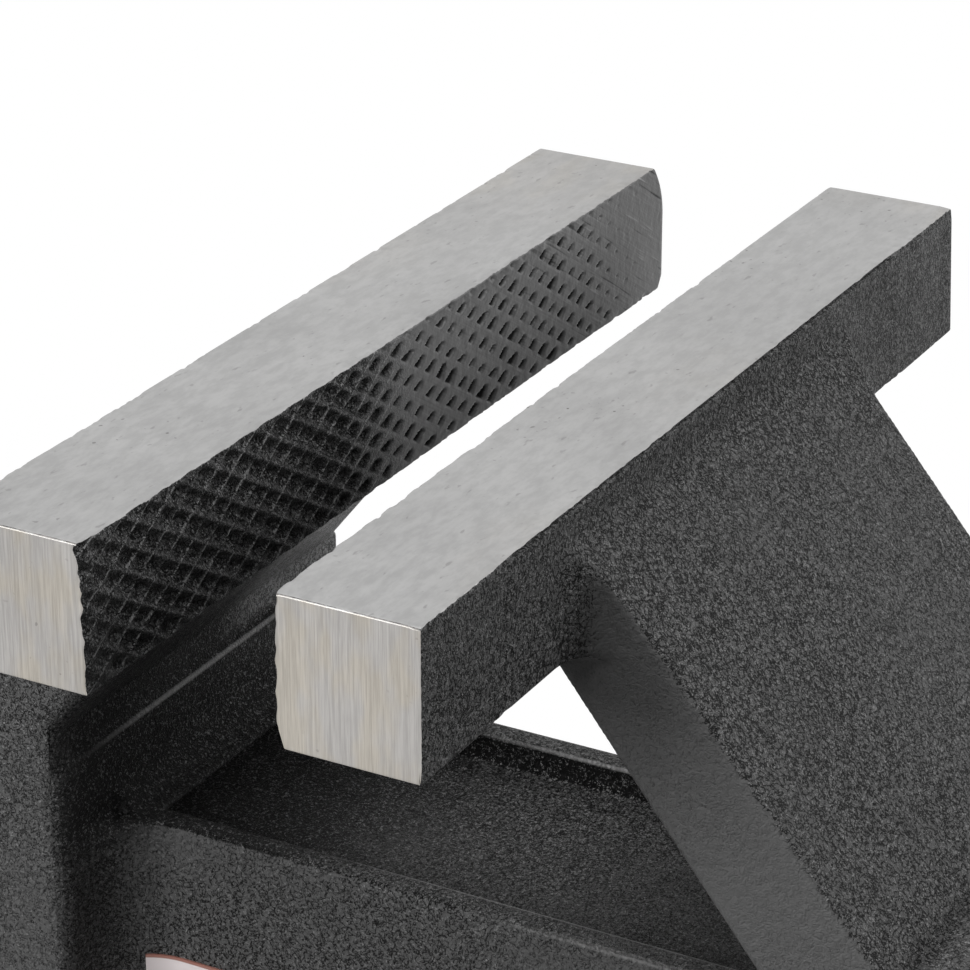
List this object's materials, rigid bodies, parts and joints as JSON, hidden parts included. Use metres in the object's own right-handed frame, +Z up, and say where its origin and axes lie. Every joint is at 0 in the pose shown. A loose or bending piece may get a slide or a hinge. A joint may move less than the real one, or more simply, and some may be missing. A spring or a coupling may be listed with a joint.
{
  "type": "swivel bench vise",
  "caption": "Cast bench vise with wide serrated jaws, a lead screw with a sliding handle, an anvil and a swivel base clamped by levers.",
  "frame": {"origin": "swivel axis at the bench surface, the centre of the mounting hole circle on the base's underside", "axes": "+Z up, +Y from the handle end to the anvil end along the screw, +X along the jaws to the right as seen from the handle"},
  "size_m": [0.2106, 0.3972, 0.2051],
  "materials": {
    "casting": "textured black paint, ground bright on the jaw tops and ends",
    "steel": "turned and zinc plated",
    "nut_iron": "bare, oiled",
    "fastener": "zinc plated"
  },
  "bodies": {
    "base": {"swivel_base": "casting"},
    "body": {"fixed_jaw_body": "casting", "screw_nut": "nut_iron", "nut_bolt": "fastener", "nut_bolt_washer": "fastener", "clamp_bolt_left": "fastener", "clamp_bolt_right": "fastener", "clamp_washer_left": "fastener", "clamp_washer_right": "fastener"},
    "jaw": {"moving_jaw": "casting", "thrust_washer": "fastener", "take_up_spring": "fastener"},
    "screw": {"lead_screw": "steel", "spring_washer": "fastener", "cross_pin": "fastener"},
    "handle": {"handle_bar": "steel", "handle_knob_left": "steel", "handle_knob_right": "steel"},
    "lever_left": {"clamp_lever_left": "casting"},
    "lever_right": {"clamp_lever_right": "casting"}
  },
  "joints": [
    {"name": "swivel", "type": "hinge", "parent": "base", "child": "body", "pos_m": [0, 0, 0.032], "axis": [0, 0, 1], "continuous": true},
    {"name": "jaw_slide", "type": "slide", "parent": "body", "child": "jaw", "axis": [0, -1, 0], "range_m": [-0.0251, 0.1246]},
    {"name": "screw_turn", "type": "hinge", "parent": "jaw", "child": "screw", "pos_m": [0, -0.2026, 0.10315], "axis": [0, 1, 0], "range_deg": [-8970, 1806]},
    {"name": "handle_slide", "type": "slide", "parent": "screw", "child": "handle", "axis": [1, 0, 0], "range_m": [-0.067, 0.067]},
    {"name": "clamp_left_turn", "type": "hinge", "parent": "body", "child": "lever_left", "pos_m": [-0.051, 0, 0.05], "axis": [0, 0, 1], "range_deg": [-130, 30]},
    {"name": "clamp_right_turn", "type": "hinge", "parent": "body", "child": "lever_right", "pos_m": [0.051, 0, 0.05], "axis": [0, 0, 1], "range_deg": [-30, 130]}
  ],
  "couplings": [
    {"joint": "jaw_slide", "follows": "screw_turn", "m_per_rad": -0.00079577}
  ]
}
